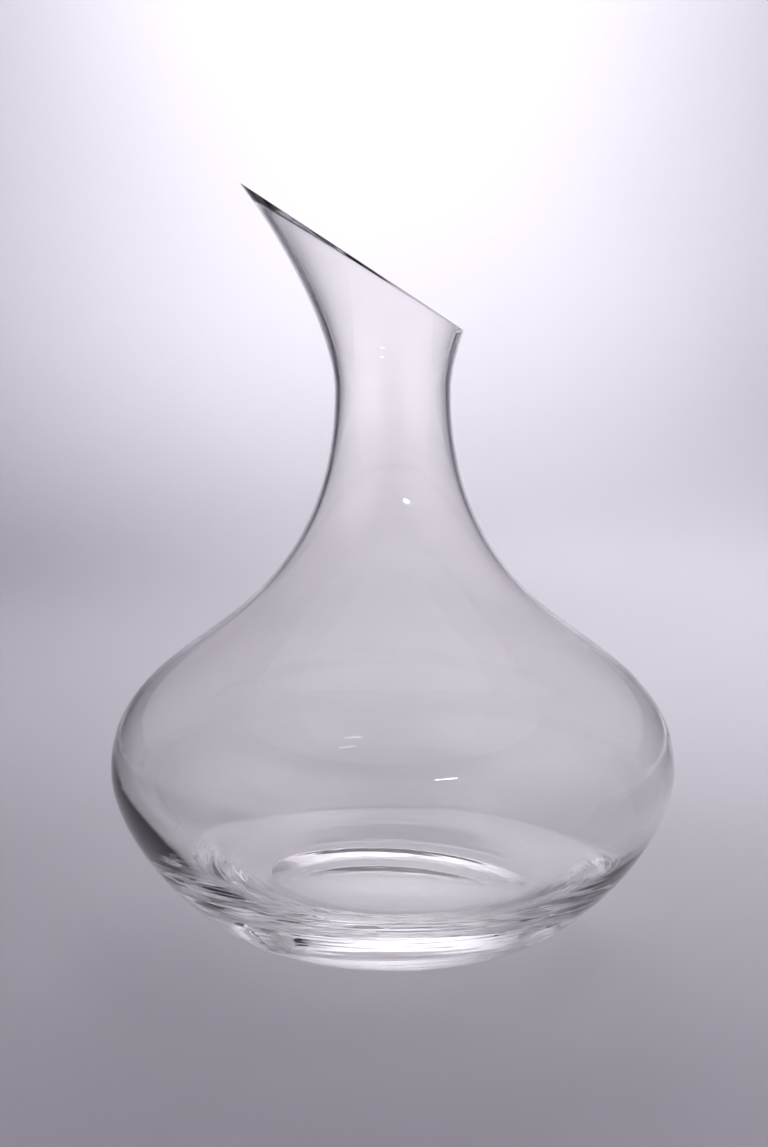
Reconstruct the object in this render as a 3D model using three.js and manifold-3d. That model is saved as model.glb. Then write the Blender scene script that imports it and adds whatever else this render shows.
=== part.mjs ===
// Wine decanter with a wide, low bowl and a slender neck that flares into an obliquely cut pouring mouth.
// The real object is blown as one piece of clear glass, so the group holds one mesh.
// Millimetres, +Z up. The origin is under the middle of the foot, on the surface that it stands on.
// The pouring tip points along -X, and the shape is the same on both sides of the XZ plane.
import * as THREE from "three";
import { mergeVertices } from "three/addons/utils/BufferGeometryUtils.js";
import Module from "manifold-3d";

const { degToRad, smoothstep } = THREE.MathUtils;
const wasm = await Module();
wasm.setup();

// Outer wall, from the foot up: radii and heights, and how far each curve runs on along its end tangent.
const FOOT_RADIUS = 46.5; // outer edge of the flat ring that the decanter stands on
const HEEL_ANGLE = 16.5; // degrees above the table at which the bowl leaves the foot
const HEEL_PULL = 20.5;
const BOWL_RADIUS = 91;
const BOWL_HEIGHT = 54.5; // height of the widest place
const BOWL_PULL_DOWN = 19.5;
const BOWL_PULL_UP = 24.5;
const SHOULDER_RADIUS = 53; // where the bowl's curve turns over into the neck's
const SHOULDER_HEIGHT = 102.5;
const SHOULDER_ANGLE = 37.5; // degrees above the horizontal
const SHOULDER_PULL_DOWN = 22;
const SHOULDER_PULL_UP = 29;
const WAIST_RADIUS = 18.5;
const WAIST_HEIGHT = 175;
const WAIST_PULL_DOWN = 31.5;
const WAIST_PULL_UP = 21.5;
const FLARE_RADIUS = 53.5; // the mouth's rim before it is cut
const FLARE_HEIGHT = 247;
const FLARE_ANGLE = 50; // degrees above the horizontal
const FLARE_PULL = 21;

// Underside: a shallow dome inside the foot ring, so that only the ring touches the table.
const FOOT_RING_WIDTH = 2;
const DOME_HEIGHT = 4;

// Wall thickness, square to the outer surface.
const BOWL_WALL = 1.8;
const NECK_WALL = 1.45;
const LIP_WALL = 2.5;
const NECK_WALL_FROM = 146; // the bowl's wall has thinned to the neck's by this height
const LIP_WALL_FROM = 156; // the wall thickens towards the lip between these two heights
const LIP_WALL_TO = 214;

// Inside of the bowl below its widest place: the wall thickens down to a knee, the slope eases there, and
// it runs in to the crease around the flat floor of the thick base.
const INNER_BOWL_PULL = 11.8;
const KNEE_RADIUS = 69.2;
const KNEE_HEIGHT = 21.4;
const KNEE_ANGLE = 31.5; // degrees above the horizontal
const KNEE_PULL_UP = 11.5;
const KNEE_PULL_DOWN = 2.5;
const FLOOR_RADIUS = 44;
const FLOOR_HEIGHT = 14;
const FLOOR_EDGE_ANGLE = 18.7; // degrees above the horizontal at which the inside leaves the floor
const FLOOR_PULL = 12;

// Oblique cut of the mouth: a plane across the flare, highest at the pouring tip.
const TIP_REACH = 48; // from the axis to the tip
const TIP_HEIGHT = 240;
const CUT_ANGLE = 33.1; // degrees below the horizontal, falling away from the tip

// Facets
const ROUND_SEGMENTS = 60;
const CURVE_STEPS = 9;
const KNEE_STEPS = 5;
const DOME_STEPS = 4;

const CLEAR_GLASS = { color: 0xe9e8ee, roughness: 0.03, metalness: 0, transparent: true, opacity: 0.35 };

// A point at a distance from another, in a direction given in degrees above the horizontal.
function along(point, angle, distance) {
  const turn = degToRad(angle);
  return new THREE.Vector2(
    point.x + distance * Math.cos(turn),
    point.y + distance * Math.sin(turn),
  );
}

// Ends of the outer wall's curves on the flat profile, where x is the radius and y the height.
const foot = new THREE.Vector2(FOOT_RADIUS, 0);
const widest = new THREE.Vector2(BOWL_RADIUS, BOWL_HEIGHT);
const shoulder = new THREE.Vector2(SHOULDER_RADIUS, SHOULDER_HEIGHT);
const waist = new THREE.Vector2(WAIST_RADIUS, WAIST_HEIGHT);
const flare = new THREE.Vector2(FLARE_RADIUS, FLARE_HEIGHT);

// The underside and the outer wall of the bowl below its widest place, from the axis outwards.
function undersideAndHeel() {
  const ringInside = new THREE.Vector2(FOOT_RADIUS - FOOT_RING_WIDTH, 0);
  const dome = new THREE.QuadraticBezierCurve(
    new THREE.Vector2(0, DOME_HEIGHT),
    new THREE.Vector2(ringInside.x / 2, DOME_HEIGHT),
    ringInside,
  );
  const heel = new THREE.CubicBezierCurve(
    foot,
    along(foot, HEEL_ANGLE, HEEL_PULL),
    along(widest, -90, BOWL_PULL_DOWN),
    widest,
  );
  return [...dome.getPoints(DOME_STEPS), ...heel.getPoints(CURVE_STEPS)];
}

// The three curves of the thin wall: bowl, neck and flared mouth, from the widest place up.
function thinWallCurves() {
  return [
    new THREE.CubicBezierCurve(
      widest,
      along(widest, 90, BOWL_PULL_UP),
      along(shoulder, -SHOULDER_ANGLE, SHOULDER_PULL_DOWN),
      shoulder,
    ),
    new THREE.CubicBezierCurve(
      shoulder,
      along(shoulder, 180 - SHOULDER_ANGLE, SHOULDER_PULL_UP),
      along(waist, -90, WAIST_PULL_DOWN),
      waist,
    ),
    new THREE.CubicBezierCurve(
      waist,
      along(waist, 90, WAIST_PULL_UP),
      along(flare, 180 + FLARE_ANGLE, FLARE_PULL),
      flare,
    ),
  ];
}

// Thickness of the thin wall at a height.
function wallAt(height) {
  const bowlExtra = (BOWL_WALL - NECK_WALL) * (1 - smoothstep(height, BOWL_HEIGHT, NECK_WALL_FROM));
  const lipExtra = (LIP_WALL - NECK_WALL) * smoothstep(height, LIP_WALL_FROM, LIP_WALL_TO);
  return NECK_WALL + bowlExtra + lipExtra;
}

// The thin wall's outer points and, one wall thickness in from each, its inner points.
function thinWall() {
  const outer = [];
  const inner = [];
  for (const curve of thinWallCurves()) {
    for (let step = 0; step <= CURVE_STEPS; step++) {
      const point = curve.getPoint(step / CURVE_STEPS);
      const tangent = curve.getTangent(step / CURVE_STEPS);
      const inward = new THREE.Vector2(-tangent.y, tangent.x);
      outer.push(point);
      inner.push(point.clone().addScaledVector(inward, wallAt(point.y)));
    }
  }
  return { outer, inner };
}

// The inside of the bowl below its widest place and the floor, from the wall to the axis.
function bowlInsideAndFloor() {
  const wall = new THREE.Vector2(BOWL_RADIUS - BOWL_WALL, BOWL_HEIGHT);
  const knee = new THREE.Vector2(KNEE_RADIUS, KNEE_HEIGHT);
  const edge = new THREE.Vector2(FLOOR_RADIUS, FLOOR_HEIGHT);
  const bowl = new THREE.CubicBezierCurve(
    wall,
    along(wall, -90, INNER_BOWL_PULL),
    along(knee, KNEE_ANGLE, KNEE_PULL_UP),
    knee,
  );
  const heel = new THREE.CubicBezierCurve(
    knee,
    along(knee, 180 + KNEE_ANGLE, KNEE_PULL_DOWN),
    along(edge, FLOOR_EDGE_ANGLE, FLOOR_PULL),
    edge,
  );
  return [
    ...bowl.getPoints(CURVE_STEPS),
    ...heel.getPoints(KNEE_STEPS),
    new THREE.Vector2(0, FLOOR_HEIGHT),
  ];
}

// Curves that join share their end point, which the profile keeps once.
function withoutRepeats(points) {
  return points.filter((point, i) => i === 0 || point.distanceTo(points[i - 1]) > 1e-6);
}

// The whole vessel as turned, before its mouth is cut.
function turnedVessel() {
  const { outer, inner } = thinWall();
  const profile = withoutRepeats([
    ...undersideAndHeel(),
    ...outer,
    ...inner.reverse(),
    ...bowlInsideAndFloor(),
  ]);
  return new THREE.LatheGeometry(profile, ROUND_SEGMENTS).rotateX(Math.PI / 2);
}

// A block that fills everything above the plane of the cut.
function aboveTheCut() {
  const size = 4 * FLARE_RADIUS;
  return new THREE.BoxGeometry(size, size, size)
    .translate(0, 0, size / 2)
    .rotateY(degToRad(CUT_ANGLE))
    .translate(-TIP_REACH, 0, TIP_HEIGHT);
}

// A closed geometry as a manifold-3d solid. Triangles that meet the axis at two corners have no area.
function solidOf(geometry) {
  const bare = geometry.clone();
  bare.deleteAttribute("normal");
  bare.deleteAttribute("uv");
  const merged = mergeVertices(bare, 1e-4);
  const corners = merged.index.array;
  const triVerts = [];
  for (let i = 0; i < corners.length; i += 3) {
    const [a, b, c] = corners.slice(i, i + 3);
    if (a !== b && b !== c && c !== a) triVerts.push(a, b, c);
  }
  return new wasm.Manifold(
    new wasm.Mesh({
      numProp: 3,
      vertProperties: merged.attributes.position.array,
      triVerts: new Uint32Array(triVerts),
    }),
  );
}

function geometryOf(solid) {
  const { vertProperties, triVerts } = solid.getMesh();
  const geometry = new THREE.BufferGeometry();
  geometry.setAttribute("position", new THREE.BufferAttribute(vertProperties, 3));
  geometry.setIndex(new THREE.BufferAttribute(triVerts, 1));
  geometry.computeVertexNormals();
  return geometry;
}

function decanterBody() {
  const cut = solidOf(turnedVessel()).subtract(solidOf(aboveTheCut()));
  const mesh = new THREE.Mesh(geometryOf(cut), new THREE.MeshStandardMaterial(CLEAR_GLASS));
  mesh.name = "glass_body";
  return mesh;
}

const decanter = new THREE.Group();
decanter.add(decanterBody());

export default decanter;
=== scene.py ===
"""Blender model of a blown-glass wine decanter: one closed glass mesh, and the studio around it."""

import math

import bpy
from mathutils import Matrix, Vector, noise

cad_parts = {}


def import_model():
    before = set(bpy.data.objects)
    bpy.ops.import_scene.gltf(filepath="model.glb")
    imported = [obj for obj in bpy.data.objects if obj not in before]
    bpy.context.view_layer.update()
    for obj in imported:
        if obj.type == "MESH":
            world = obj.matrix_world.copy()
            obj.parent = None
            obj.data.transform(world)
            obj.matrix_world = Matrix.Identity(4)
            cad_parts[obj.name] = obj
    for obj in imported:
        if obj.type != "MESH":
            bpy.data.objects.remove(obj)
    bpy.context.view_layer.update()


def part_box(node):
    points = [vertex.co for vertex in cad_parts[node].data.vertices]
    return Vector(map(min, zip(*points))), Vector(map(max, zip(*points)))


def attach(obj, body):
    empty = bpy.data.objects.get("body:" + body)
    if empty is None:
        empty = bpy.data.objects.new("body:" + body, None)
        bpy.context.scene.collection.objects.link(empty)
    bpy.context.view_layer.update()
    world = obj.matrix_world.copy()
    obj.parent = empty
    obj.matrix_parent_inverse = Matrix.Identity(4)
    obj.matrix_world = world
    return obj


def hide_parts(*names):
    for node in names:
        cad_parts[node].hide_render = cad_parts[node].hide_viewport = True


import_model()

low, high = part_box("glass_body")

# ---------------------------------------------------------------- driving dimensions, in millimetres
TIP_HEIGHT = 240.0  # the whole height, which the part's box gives in metres
MM = (high.z - low.z) / TIP_HEIGHT

FOOT = (46.5, 0.0)
WIDEST = (91.0, 54.5)
SHOULDER = (53.0, 102.5)
WAIST = (18.5, 175.0)
FLARE = (53.5, 247.0)
HEEL_ANGLE, HEEL_PULL = 16.5, 20.5
BOWL_PULL_DOWN, BOWL_PULL_UP = 19.5, 24.5
SHOULDER_ANGLE, SHOULDER_PULL_DOWN, SHOULDER_PULL_UP = 37.5, 22.0, 29.0
WAIST_PULL_DOWN, WAIST_PULL_UP = 31.5, 21.5
FLARE_ANGLE, FLARE_PULL = 50.0, 21.0

# Underside: a shallow dome inside the flat ring that the decanter stands on.
RING_INSIDE = 44.5
RING_INNER_EDGE, RING_OUTER_EDGE = 0.7, 0.6  # how far in from its two edges the ring has its own points
DOME_HEIGHT = 4.0

BOWL_WALL, NECK_WALL, LIP_WALL = 1.8, 1.45, 2.5
NECK_WALL_FROM, LIP_WALL_FROM, LIP_WALL_TO = 146.0, 156.0, 214.0

# Inside, the wall thickens down to a knee, runs in at a low angle and creases at the flat floor.
INNER_BOWL_PULL = 11.8
KNEE = (69.2, 21.4)
KNEE_ANGLE, KNEE_PULL_UP, KNEE_PULL_DOWN = 31.5, 11.5, 2.5
FLOOR = (44.0, 14.0)
FLOOR_ANGLE, FLOOR_PULL = 18.7, 12.0

TIP_REACH = 48.0  # from the axis to the pouring tip
CUT_ANGLE = 33.1  # degrees below the horizontal, falling away from the tip
CUT_SLOPE = math.tan(math.radians(CUT_ANGLE))
CUT_AT_AXIS = TIP_HEIGHT - TIP_REACH * CUT_SLOPE
LIP_ROUNDING = 0.8
FLARE_LENGTH = 85.0  # of the whole flare, which turns the rounding into a share of its curve

# A blown vessel is never quite even: low in the bowl the cavity sits to +X of the outside, and its
# floor more so.
CAVITY_SHIFT, CAVITY_SHIFT_FROM, CAVITY_SHIFT_TO = 2.0, 28.0, 62.0
FLOOR_SHIFT, FLOOR_SHIFT_TO = 0.5, 26.0

# Fine rings that the tool leaves around the heel, and softer ones inside it and on the underside.
# Each has a depth, a spacing, a seed and the two heights or radii between which it fades.
RIPPLE_DEPTH, RIPPLE_LENGTH, RIPPLE_SEED = 0.05, 1.0, 3.0
RIPPLE_FROM, RIPPLE_TO = 18.0, 34.0
RIPPLE_CLEAR_OF_FOOT = 0.5  # height at which the rings of the heel are fully there
INNER_RIPPLE_DEPTH, INNER_RIPPLE_LENGTH, INNER_RIPPLE_SEED = 0.05, 2.4, 11.0
INNER_RIPPLE_FROM, INNER_RIPPLE_TO = 19.0, 30.0
DOME_RIPPLE_DEPTH, DOME_RIPPLE_LENGTH, DOME_RIPPLE_SEED = 0.10, 2.2, 23.0
DOME_RIPPLE_FROM, DOME_RIPPLE_TO = 20.0, 40.0

# Glass: relief of its shading in metres, its two tones, and its roughness where it has been handled.
WAVE_DEPTH, RING_DEPTH = 0.00006, 0.000006
GLASS_COLOUR, CORD_COLOUR = (1.0, 0.995, 0.990), (0.985, 0.980, 0.975)
GLASS_IOR = 1.52
FILM_ROUGHNESS = 0.012

# Stage
SHADE_COLOUR = (0.84, 0.84, 0.85)
SHADE_SHARE = 0.9  # of the widest radius
# Grey of the cards that only the glass shows: painted shade that darkens the glass's edges
EDGE_SHADE_COLOUR = (0.28, 0.28, 0.31)
PAPER_COLOUR, PAPER_SHADE = (0.80, 0.769, 0.840), (0.788, 0.757, 0.828)
PAPER_RELIEF = 0.0001

# Mesh density
ROUND_STEPS = 160
FINE = 1.0

# Sockets of a colour Mix node, which share their names
MIX_FACTOR, MIX_FIRST, MIX_SECOND, MIX_RESULT = 0, 6, 7, 2


# ---------------------------------------------------------------- curves of the profile: (radius, height)
def along(point, angle, distance):
    """A point at a distance from another, in a direction given in degrees above the horizontal."""
    turn = math.radians(angle)
    return point[0] + distance * math.cos(turn), point[1] + distance * math.sin(turn)


def cubic(a, b, c, d, t):
    s = 1 - t
    weights = (s**3, 3 * s * s * t, 3 * s * t * t, t**3)
    return tuple(sum(w * p[i] for w, p in zip(weights, (a, b, c, d))) for i in (0, 1))


def quadratic(a, b, c, t):
    s = 1 - t
    return tuple(s * s * a[i] + 2 * s * t * b[i] + t * t * c[i] for i in (0, 1))


def slope_of(curve, t, step=1e-4):
    """The unit tangent of a curve."""
    first, last = curve(max(0.0, t - step)), curve(min(1.0, t + step))
    across, up = last[0] - first[0], last[1] - first[1]
    length = math.hypot(across, up)
    return across / length, up / length


def smooth(value, start, end):
    t = min(1.0, max(0.0, (value - start) / (end - start)))
    return t * t * (3 - 2 * t)


def heel(t):
    return cubic(
        FOOT,
        along(FOOT, HEEL_ANGLE, HEEL_PULL),
        along(WIDEST, -90, BOWL_PULL_DOWN),
        WIDEST,
        t,
    )


def bowl(t):
    return cubic(
        WIDEST,
        along(WIDEST, 90, BOWL_PULL_UP),
        along(SHOULDER, -SHOULDER_ANGLE, SHOULDER_PULL_DOWN),
        SHOULDER,
        t,
    )


def neck(t):
    return cubic(
        SHOULDER,
        along(SHOULDER, 180 - SHOULDER_ANGLE, SHOULDER_PULL_UP),
        along(WAIST, -90, WAIST_PULL_DOWN),
        WAIST,
        t,
    )


def flare(t):
    return cubic(
        WAIST,
        along(WAIST, 90, WAIST_PULL_UP),
        along(FLARE, 180 + FLARE_ANGLE, FLARE_PULL),
        FLARE,
        t,
    )


def wall_at(height):
    """Thickness of the thin wall at a height."""
    bowl_extra = (BOWL_WALL - NECK_WALL) * (1 - smooth(height, WIDEST[1], NECK_WALL_FROM))
    lip_extra = (LIP_WALL - NECK_WALL) * smooth(height, LIP_WALL_FROM, LIP_WALL_TO)
    return NECK_WALL + bowl_extra + lip_extra


def inside_of(curve):
    """The curve that runs one wall thickness inside another."""

    def inner(t):
        radius, height = curve(t)
        across, up = slope_of(curve, t)
        wall = wall_at(height)
        return radius - up * wall, height + across * wall

    return inner


def inner_bowl(t):
    wall = (WIDEST[0] - BOWL_WALL, WIDEST[1])
    return cubic(
        wall,
        along(wall, -90, INNER_BOWL_PULL),
        along(KNEE, KNEE_ANGLE, KNEE_PULL_UP),
        KNEE,
        t,
    )


def inner_heel(t):
    return cubic(
        KNEE,
        along(KNEE, 180 + KNEE_ANGLE, KNEE_PULL_DOWN),
        along(FLOOR, FLOOR_ANGLE, FLOOR_PULL),
        FLOOR,
        t,
    )


def floor_curve(t):
    return quadratic(FLOOR, (FLOOR[0] / 2, FLOOR[1]), (0.0, FLOOR[1]), t)


def dome_curve(t):
    return quadratic((0.0, DOME_HEIGHT), (RING_INSIDE / 2, DOME_HEIGHT), (RING_INSIDE, 0.0), t)


def spread(curve, steps, start=0.0, end=1.0, last=True):
    """Points along a curve, with or without the last one."""
    steps = max(4, round(steps * FINE))
    count = steps + 1 if last else steps
    return [curve(start + (end - start) * i / steps) for i in range(count)]


def cut_parameter(curve, cosine):
    """Where a flare curve meets the plane of the cut, on the meridian with this cosine."""
    below, above = 0.0, 1.0
    for _ in range(40):
        middle = (below + above) / 2
        radius, height = curve(middle)
        if height - (CUT_AT_AXIS - radius * cosine * CUT_SLOPE) < 0:
            below = middle
        else:
            above = middle
    return (below + above) / 2


def part_way(a, b, share):
    return tuple(a[k] + (b[k] - a[k]) * share for k in (0, 1))


def lip(outer_end, outer_before, inner_end, inner_before):
    """The cut edge from the outer wall to the inner one, with both corners melted round."""
    steps = 6
    share = LIP_ROUNDING / math.dist(outer_end, inner_end)
    outer_after = part_way(outer_end, inner_end, share)
    inner_after = part_way(inner_end, outer_end, share)
    first = [quadratic(outer_before, outer_end, outer_after, i / steps) for i in range(steps + 1)]
    last = [quadratic(inner_after, inner_end, inner_before, i / steps) for i in range(steps + 1)]
    return first + last


def meridian(cosine):
    """One closed half-profile, from the middle of the underside round the lip to that of the floor.

    Each run of points carries the name of its surface, which says how uneven it is.
    """
    inner_flare = inside_of(flare)
    out_cut, in_cut = cut_parameter(flare, cosine), cut_parameter(inner_flare, cosine)
    back = LIP_ROUNDING / FLARE_LENGTH
    ring_points = [
        (RING_INSIDE, 0.0),
        (RING_INSIDE + RING_INNER_EDGE, 0.0),
        (FOOT[0] - RING_OUTER_EDGE, 0.0),
    ]
    out_before, in_before = out_cut - back, in_cut - back
    lip_points = lip(flare(out_cut), flare(out_before), inner_flare(in_cut), inner_flare(in_before))
    runs = [
        ("dome", spread(dome_curve, 36, last=False)),
        ("foot", ring_points),
        ("heel", spread(heel, 190, last=False)),
        ("outside", spread(bowl, 26, last=False)),
        ("outside", spread(neck, 24, last=False)),
        ("outside", spread(flare, 20, 0.0, out_before, last=False)),
        ("lip", lip_points),
        ("inside", spread(inner_flare, 20, in_before, 0.0)[1:]),
        ("inside", spread(inside_of(neck), 24, 1.0, 0.0)[1:]),
        ("inside", spread(inside_of(bowl), 26, 1.0, 0.0)[1:]),
        ("inner heel", spread(inner_bowl, 50)[1:]),
        ("inner heel", spread(inner_heel, 40)[1:]),
        ("floor", spread(floor_curve, 16)[1:]),
    ]
    return [(name, point) for name, points in runs for point in points]


# ---------------------------------------------------------------- hand-made unevenness
def uneven_at(height):
    """How far the cavity sits off the axis at a height, in millimetres."""
    whole = CAVITY_SHIFT * (1 - smooth(height, CAVITY_SHIFT_FROM, CAVITY_SHIFT_TO))
    return whole + FLOOR_SHIFT * (1 - smooth(height, FLOOR[1], FLOOR_SHIFT_TO))


def ring_noise(radius, height, turn, length, seed):
    """Noise drawn out around the axis, so that it reads as rings that fade in and out."""
    travel = math.hypot(radius, height) / length
    place = Vector((math.cos(turn) * 1.3 + seed, math.sin(turn) * 1.3, travel))
    fine = Vector((math.cos(turn) * 4.0 + seed, math.sin(turn) * 4.0, travel * 1.9))
    return noise.noise(place) + 0.45 * noise.noise(fine)


def ripple(name, radius, height, turn):
    """How far the rings push a named surface out at a place, in millimetres."""
    if name == "heel":
        share = smooth(height, 0.0, RIPPLE_CLEAR_OF_FOOT) * (1 - smooth(height, RIPPLE_FROM, RIPPLE_TO))
        return RIPPLE_DEPTH * share * ring_noise(radius, height, turn, RIPPLE_LENGTH, RIPPLE_SEED)
    if name == "inner heel":
        share = 1 - smooth(height, INNER_RIPPLE_FROM, INNER_RIPPLE_TO)
        rings = ring_noise(radius, height, turn, INNER_RIPPLE_LENGTH, INNER_RIPPLE_SEED)
        return INNER_RIPPLE_DEPTH * share * rings
    if name == "dome":
        rings = ring_noise(radius, height, turn, DOME_RIPPLE_LENGTH, DOME_RIPPLE_SEED)
        return DOME_RIPPLE_DEPTH * rings * smooth(radius, DOME_RIPPLE_FROM, DOME_RIPPLE_TO)
    return 0.0


def glass_mesh(name):
    """The whole vessel as one closed mesh, a ring of vertices for each point of the profile."""
    columns = [meridian(math.cos(math.tau * i / ROUND_STEPS)) for i in range(ROUND_STEPS)]
    count = len(columns[0])
    inner_names = ("inside", "inner heel", "floor")

    def placed(row, i):
        surface, (radius, height) = columns[i][row]
        turn = math.tau * i / ROUND_STEPS
        before, after = columns[i][max(0, row - 1)][1], columns[i][min(count - 1, row + 1)][1]
        across, up = after[0] - before[0], after[1] - before[1]
        length = math.hypot(across, up) or 1.0
        push = ripple(surface, radius, height, turn)
        radius, height = radius + push * up / length, height - push * across / length
        shift = uneven_at(height) if surface in inner_names else 0.0
        return ((radius * math.cos(turn) + shift) * MM, radius * math.sin(turn) * MM, height * MM)

    vertices = [(0.0, 0.0, columns[0][0][1][1] * MM)]
    for row in range(1, count - 1):
        vertices += [placed(row, i) for i in range(ROUND_STEPS)]
    vertices.append((uneven_at(FLOOR[1]) * MM, 0.0, FLOOR[1] * MM))

    def ring(row, i):
        return 1 + (row - 1) * ROUND_STEPS + i % ROUND_STEPS

    faces = [(0, ring(1, i + 1), ring(1, i)) for i in range(ROUND_STEPS)]
    for row in range(1, count - 2):
        for i in range(ROUND_STEPS):
            faces.append((ring(row, i), ring(row, i + 1), ring(row + 1, i + 1), ring(row + 1, i)))
    last = len(vertices) - 1
    faces += [(last, ring(count - 2, i), ring(count - 2, i + 1)) for i in range(ROUND_STEPS)]
    mesh = bpy.data.meshes.new(name)
    mesh.from_pydata(vertices, [], faces)
    mesh.validate()
    mesh.shade_smooth()
    return mesh


# ---------------------------------------------------------------- materials
def node_material(name):
    material = bpy.data.materials.new(name)
    material.use_nodes = True
    tree = material.node_tree
    tree.nodes.clear()
    output = tree.nodes.new("ShaderNodeOutputMaterial")
    return material, tree, output


def stretched_noise(tree, across, up, scale, detail):
    """Noise over the object's own coordinates, drawn out sideways or upwards."""
    place = tree.nodes.new("ShaderNodeTexCoord")
    stretch = tree.nodes.new("ShaderNodeMapping")
    stretch.inputs["Scale"].default_value = (across, across, up)
    tree.links.new(place.outputs["Object"], stretch.inputs["Vector"])
    texture = tree.nodes.new("ShaderNodeTexNoise")
    texture.inputs["Scale"].default_value = scale
    texture.inputs["Detail"].default_value = detail
    tree.links.new(stretch.outputs["Vector"], texture.inputs["Vector"])
    return texture.outputs["Fac"]


def between(tree, factor, low_value, high_value, start=0.35, end=0.7):
    """A number that follows a noise from one value to another."""
    scaled = tree.nodes.new("ShaderNodeMapRange")
    scaled.inputs["From Min"].default_value = start
    scaled.inputs["From Max"].default_value = end
    scaled.inputs["To Min"].default_value = low_value
    scaled.inputs["To Max"].default_value = high_value
    tree.links.new(factor, scaled.inputs["Value"])
    return scaled.outputs["Result"]


def tint(tree, factor, first, second):
    """A colour that follows a factor from one tone to another."""
    mix = tree.nodes.new("ShaderNodeMix")
    mix.data_type = "RGBA"
    mix.inputs[MIX_FIRST].default_value = (*first, 1)
    mix.inputs[MIX_SECOND].default_value = (*second, 1)
    tree.links.new(factor, mix.inputs[MIX_FACTOR])
    return mix.outputs[MIX_RESULT]


def bump(tree, height, strength, distance, under=None):
    node = tree.nodes.new("ShaderNodeBump")
    node.inputs["Strength"].default_value = strength
    node.inputs["Distance"].default_value = distance
    tree.links.new(height, node.inputs["Height"])
    if under:
        tree.links.new(under, node.inputs["Normal"])
    return node.outputs["Normal"]


def clear_glass():
    """Colourless blown glass: faint denser cords, soft blowing waves and a breath of handling film."""
    material, tree, output = node_material("clear_glass")
    shader = tree.nodes.new("ShaderNodeBsdfPrincipled")
    shader.inputs["IOR"].default_value = GLASS_IOR
    shader.inputs["Transmission Weight"].default_value = 1.0
    cords = stretched_noise(tree, 18.0, 90.0, 1.0, 3.0)
    colour = tint(tree, between(tree, cords, 0.0, 1.0), GLASS_COLOUR, CORD_COLOUR)
    film = stretched_noise(tree, 45.0, 30.0, 1.0, 6.0)
    waves = stretched_noise(tree, 22.0, 60.0, 1.0, 1.0)
    rings = stretched_noise(tree, 14.0, 420.0, 1.0, 2.0)
    tree.links.new(colour, shader.inputs["Base Color"])
    tree.links.new(between(tree, film, 0.0, FILM_ROUGHNESS, 0.5, 0.75), shader.inputs["Roughness"])
    relief = bump(tree, waves, 1.0, WAVE_DEPTH)
    relief = bump(tree, rings, 1.0, RING_DEPTH, relief)
    tree.links.new(relief, shader.inputs["Normal"])
    tree.links.new(shader.outputs["BSDF"], output.inputs["Surface"])
    return material


def paper(name):
    """Matt lavender backdrop paper with a cloudy tone, a fine tooth and short fibres."""
    material, tree, output = node_material(name)
    shader = tree.nodes.new("ShaderNodeBsdfPrincipled")
    shader.inputs["Specular IOR Level"].default_value = 0.1
    clouds = stretched_noise(tree, 2.5, 2.5, 1.0, 3.0)
    tooth = stretched_noise(tree, 900.0, 900.0, 1.0, 4.0)
    fibres = stretched_noise(tree, 260.0, 1400.0, 1.0, 2.0)
    colour = tint(tree, between(tree, clouds, 0.0, 1.0), PAPER_COLOUR, PAPER_SHADE)
    tree.links.new(colour, shader.inputs["Base Color"])
    tree.links.new(between(tree, tooth, 0.84, 0.95), shader.inputs["Roughness"])
    relief = bump(tree, tooth, 0.25, PAPER_RELIEF)
    relief = bump(tree, fibres, 0.15, PAPER_RELIEF, relief)
    tree.links.new(relief, shader.inputs["Normal"])
    tree.links.new(shader.outputs["BSDF"], output.inputs["Surface"])
    return material


def painted_edge_shade(start, end):
    """Painted shade for the glass's dark edges: paper tone that darkens to grey from one distance beside
    the decanter to another.
    """
    material, tree, output = node_material("painted_edge_shade_card")
    shader = tree.nodes.new("ShaderNodeBsdfPrincipled")
    place = tree.nodes.new("ShaderNodeTexCoord")
    apart = tree.nodes.new("ShaderNodeSeparateXYZ")
    tree.links.new(place.outputs["Object"], apart.inputs["Vector"])
    distance = tree.nodes.new("ShaderNodeMath")
    distance.operation = "ABSOLUTE"
    tree.links.new(apart.outputs["X"], distance.inputs[0])
    share = between(tree, distance.outputs["Value"], 0.0, 1.0, start, end)
    tree.links.new(tint(tree, share, PAPER_COLOUR, EDGE_SHADE_COLOUR), shader.inputs["Base Color"])
    shader.inputs["Roughness"].default_value = 1.0
    tree.links.new(shader.outputs["BSDF"], output.inputs["Surface"])
    return material


# ---------------------------------------------------------------- the decanter
def decanter():
    piece = bpy.data.objects.new("decanter_glass", glass_mesh("decanter_glass"))
    bpy.context.scene.collection.objects.link(piece)
    piece.data.materials.append(clear_glass())
    piece.visible_shadow = False
    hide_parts("glass_body")
    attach(piece, "root")
    return piece


# ---------------------------------------------------------------- the studio
SWEEP_FLAT = 0.95  # radius of the flat floor
SWEEP_BEND = 0.55  # radius of the bend
SWEEP_TOP = 1.9
SWEEP_GAP = 0.0003  # keeps the paper clear of the foot
CARD_GAP = 0.0002  # keeps the flat cards above the paper


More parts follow.
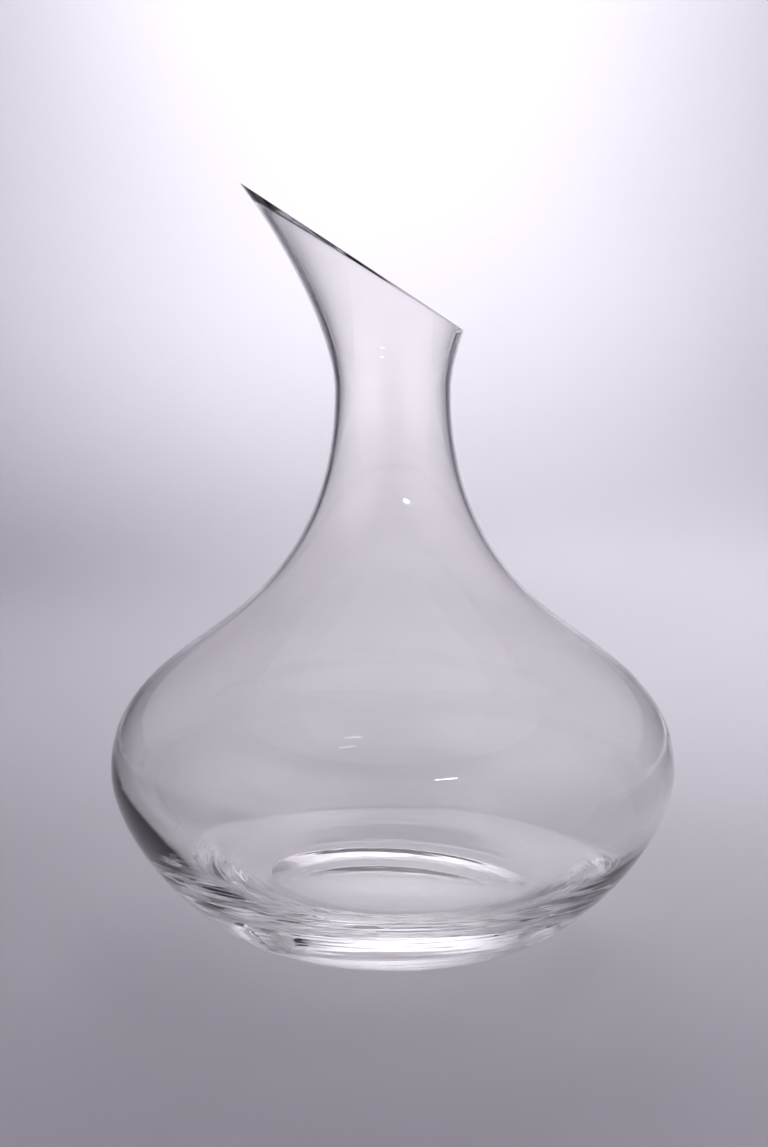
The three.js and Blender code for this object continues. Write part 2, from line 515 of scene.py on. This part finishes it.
def sweep():
    """A round paper sweep: flat floor, a quarter bend and an upright wall."""
    profile = [(0.0, 0.0)] + [(SWEEP_FLAT * i / 8, 0.0) for i in range(1, 9)]
    for i in range(1, 17):
        turn = math.pi / 2 * i / 16
        outwards, upwards = math.sin(turn), 1 - math.cos(turn)
        profile.append((SWEEP_FLAT + SWEEP_BEND * outwards, SWEEP_BEND * upwards))
    profile.append((SWEEP_FLAT + SWEEP_BEND, SWEEP_TOP))
    steps = 96
    below = low.z - SWEEP_GAP
    vertices = [(0, 0, below)]
    for radius, height in profile[1:]:
        for i in range(steps):
            turn = math.tau * i / steps
            vertices.append((radius * math.cos(turn), radius * math.sin(turn), height + below))

    def ring(row, i):
        return 1 + (row - 1) * steps + i % steps

    faces = [(0, ring(1, i), ring(1, i + 1)) for i in range(steps)]
    for row in range(1, len(profile) - 1):
        for i in range(steps):
            faces.append((ring(row, i), ring(row + 1, i), ring(row + 1, i + 1), ring(row, i + 1)))
    mesh = bpy.data.meshes.new("sweep")
    mesh.from_pydata(vertices, [], faces)
    mesh.shade_smooth()
    stage = bpy.data.objects.new("sweep", mesh)
    bpy.context.scene.collection.objects.link(stage)
    mesh.materials.append(paper("sweep_paper"))


def painted_shade_card(name, corners, start, end):
    """A dark card of painted shade beside the decanter, fading in sideways, that only the glass shows: it
    paints dark edge reflections into the glass.
    """
    mesh = bpy.data.meshes.new(name)
    mesh.from_pydata(corners, [], [(0, 1, 2, 3)])
    mesh.materials.append(painted_edge_shade(start, end))
    card = bpy.data.objects.new(name, mesh)
    bpy.context.scene.collection.objects.link(card)
    card.visible_camera = False
    card.visible_diffuse = False
    card.visible_shadow = False


def side_cards(side, label):
    """One card flat on the floor, which edges the bowl, and one upright behind, which edges the neck:
    both are painted shade, seen only in the glass as dark edges.
    """
    near, far, front, back, dark_from = 0.14, 0.7, -0.1, 0.5, 0.31
    height = low.z + CARD_GAP
    corners = ((near, front), (far, front), (far, back), (near, back))
    flat = [(side * x, y, height) for x, y in corners]
    painted_shade_card("floor_card_" + label, flat, near, dark_from)
    inner, outer, top, dark_from = (0.3, 0.9), (1.1, 0.5), 0.26, 0.5
    corners = ((*inner, 0.0), (*outer, 0.0), (*outer, top), (*inner, top))
    upright = [(side * x, y, z) for x, y, z in corners]
    painted_shade_card("back_card_" + label, upright, inner[0], dark_from)


def shade(name):
    """A faint disc at the widest place that only weakens the light on the floor, as the glass does."""
    material, tree, output = node_material("shade")
    veil = tree.nodes.new("ShaderNodeBsdfTransparent")
    veil.inputs["Color"].default_value = (*SHADE_COLOUR, 1)
    tree.links.new(veil.outputs["BSDF"], output.inputs["Surface"])
    steps = 48
    radius, height = SHADE_SHARE * WIDEST[0] * MM, WIDEST[1] * MM
    turns = [math.tau * i / steps for i in range(steps)]
    rim = [(radius * math.cos(turn), radius * math.sin(turn), height) for turn in turns]
    mesh = bpy.data.meshes.new(name)
    mesh.from_pydata(rim, [], [tuple(range(steps))])
    mesh.materials.append(material)
    disc = bpy.data.objects.new(name, mesh)
    bpy.context.scene.collection.objects.link(disc)
    disc.visible_camera = False
    disc.visible_diffuse = False
    disc.visible_glossy = False
    disc.visible_transmission = False


def aimed(name, data, place, target):
    """A lamp at one place that points at another."""
    lamp = bpy.data.objects.new(name, data)
    lamp.location = place
    lamp.rotation_euler = (Vector(target) - Vector(place)).to_track_quat("-Z", "Y").to_euler()
    bpy.context.scene.collection.objects.link(lamp)
    return lamp


def area_light(name, place, target, size, power):
    data = bpy.data.lights.new(name, "AREA")
    data.shape = "RECTANGLE"
    data.size, data.size_y = size
    data.energy = power
    lamp = aimed(name, data, place, target)
    lamp.visible_camera = False
    return lamp


def spot_light(name, place, target, angle, power):
    """A soft spot that lights the paper and is itself seen neither in the glass nor directly."""
    data = bpy.data.lights.new(name, "SPOT")
    data.spot_size = math.radians(angle)
    data.spot_blend = 1.0
    data.shadow_soft_size = 0.15
    data.energy = power
    lamp = aimed(name, data, place, target)
    lamp.visible_camera = False
    lamp.visible_glossy = False
    lamp.visible_transmission = False
    return lamp


# Name, place, target, cone in degrees and power in watts. The wall and floor spots light the paper behind
# the decanter, the two front ones what the bowl's inner wall reflects, and the last the floor under it.
SPOTS = (
    ("wall_pool", (0.1, 0.3, 1.6), (0.05, 1.5, 0.8), 60, 60),
    ("wall_top", (0.0, 0.2, 1.5), (0.0, 1.5, 1.0), 50, 95),
    ("wall_low", (0.0, 0.3, 1.3), (-0.35, 1.5, 0.25), 45, 14),
    ("wall_bend", (0.1, 0.2, 1.2), (0.05, 1.35, 0.12), 50, 31),
    ("wall_bend_middle", (0.1, 0.2, 1.2), (0.05, 1.35, 0.12), 30, 17),
    ("front_left", (0.3, 0.0, 1.3), (-1.2, -0.9, 0.5), 75, 120),
    ("front_right", (-0.3, 0.0, 1.3), (1.2, -0.9, 0.5), 75, 94),
    ("floor_rear", (0.4, 0.6, 1.2), (0.3, 0.5, 0), 70, 34),
    ("under_base", (0.0, 0.1, 0.9), (0.0, 0.0, 0.0), 7, 8),
)


def world(strength, colour):
    """An even surround, for what the glass shows past the top of the paper."""
    made = bpy.data.worlds.new("studio")
    made.use_nodes = True
    back = made.node_tree.nodes["Background"]
    back.inputs["Color"].default_value = (*colour, 1)
    back.inputs["Strength"].default_value = strength
    made.cycles_visibility.diffuse = False  # seen in the glass, but it lights no paper
    bpy.context.scene.world = made


# The photo's camera, fitted to the decanter's outline
CAMERA_PLACE = (-0.0028, -0.628, 0.2087)
CAMERA_DIP = 8.35  # degrees below the horizontal
CAMERA_LENS, CAMERA_SENSOR = 61.96, 36.0


def camera():
    data = bpy.data.cameras.new("camera")
    data.sensor_width = CAMERA_SENSOR
    data.lens = CAMERA_LENS
    lens = bpy.data.objects.new("camera", data)
    lens.location = CAMERA_PLACE
    lens.rotation_euler = (math.radians(90 - CAMERA_DIP), 0, 0)
    bpy.context.scene.collection.objects.link(lens)
    bpy.context.scene.camera = lens


scene = bpy.context.scene
scene.view_settings.view_transform = "Standard"
scene.cycles.use_denoising = True
scene.cycles.max_bounces = 24
scene.cycles.transmission_bounces = 24
scene.cycles.glossy_bounces = 12
scene.cycles.diffuse_bounces = 2

camera()
decanter()
sweep()
lamps = {lamp[0]: spot_light(*lamp) for lamp in SPOTS}
lamps["wall_pool"].visible_transmission = True  # the one spot that the glass may show
lamps["under_base"].data.shadow_soft_size = 0.01
overhead = area_light("overhead", (0.0, 0.0, 1.85), (0.0, 0.0, 0.0), (1.6, 1.6), 3.0)
overhead.visible_glossy = False
glint = area_light("glint", (0.33, -0.80, 0.64), (0.0, 0.0, 0.05), (0.14, 0.016), 0.25)
glint.visible_diffuse = False
shade("bowl_shade")
# Dark cards of painted shade, seen only in the glass as dark edge reflections
side_cards(-1, "left")
side_cards(1, "right")
world(0.33, (1.0, 1.0, 1.0))
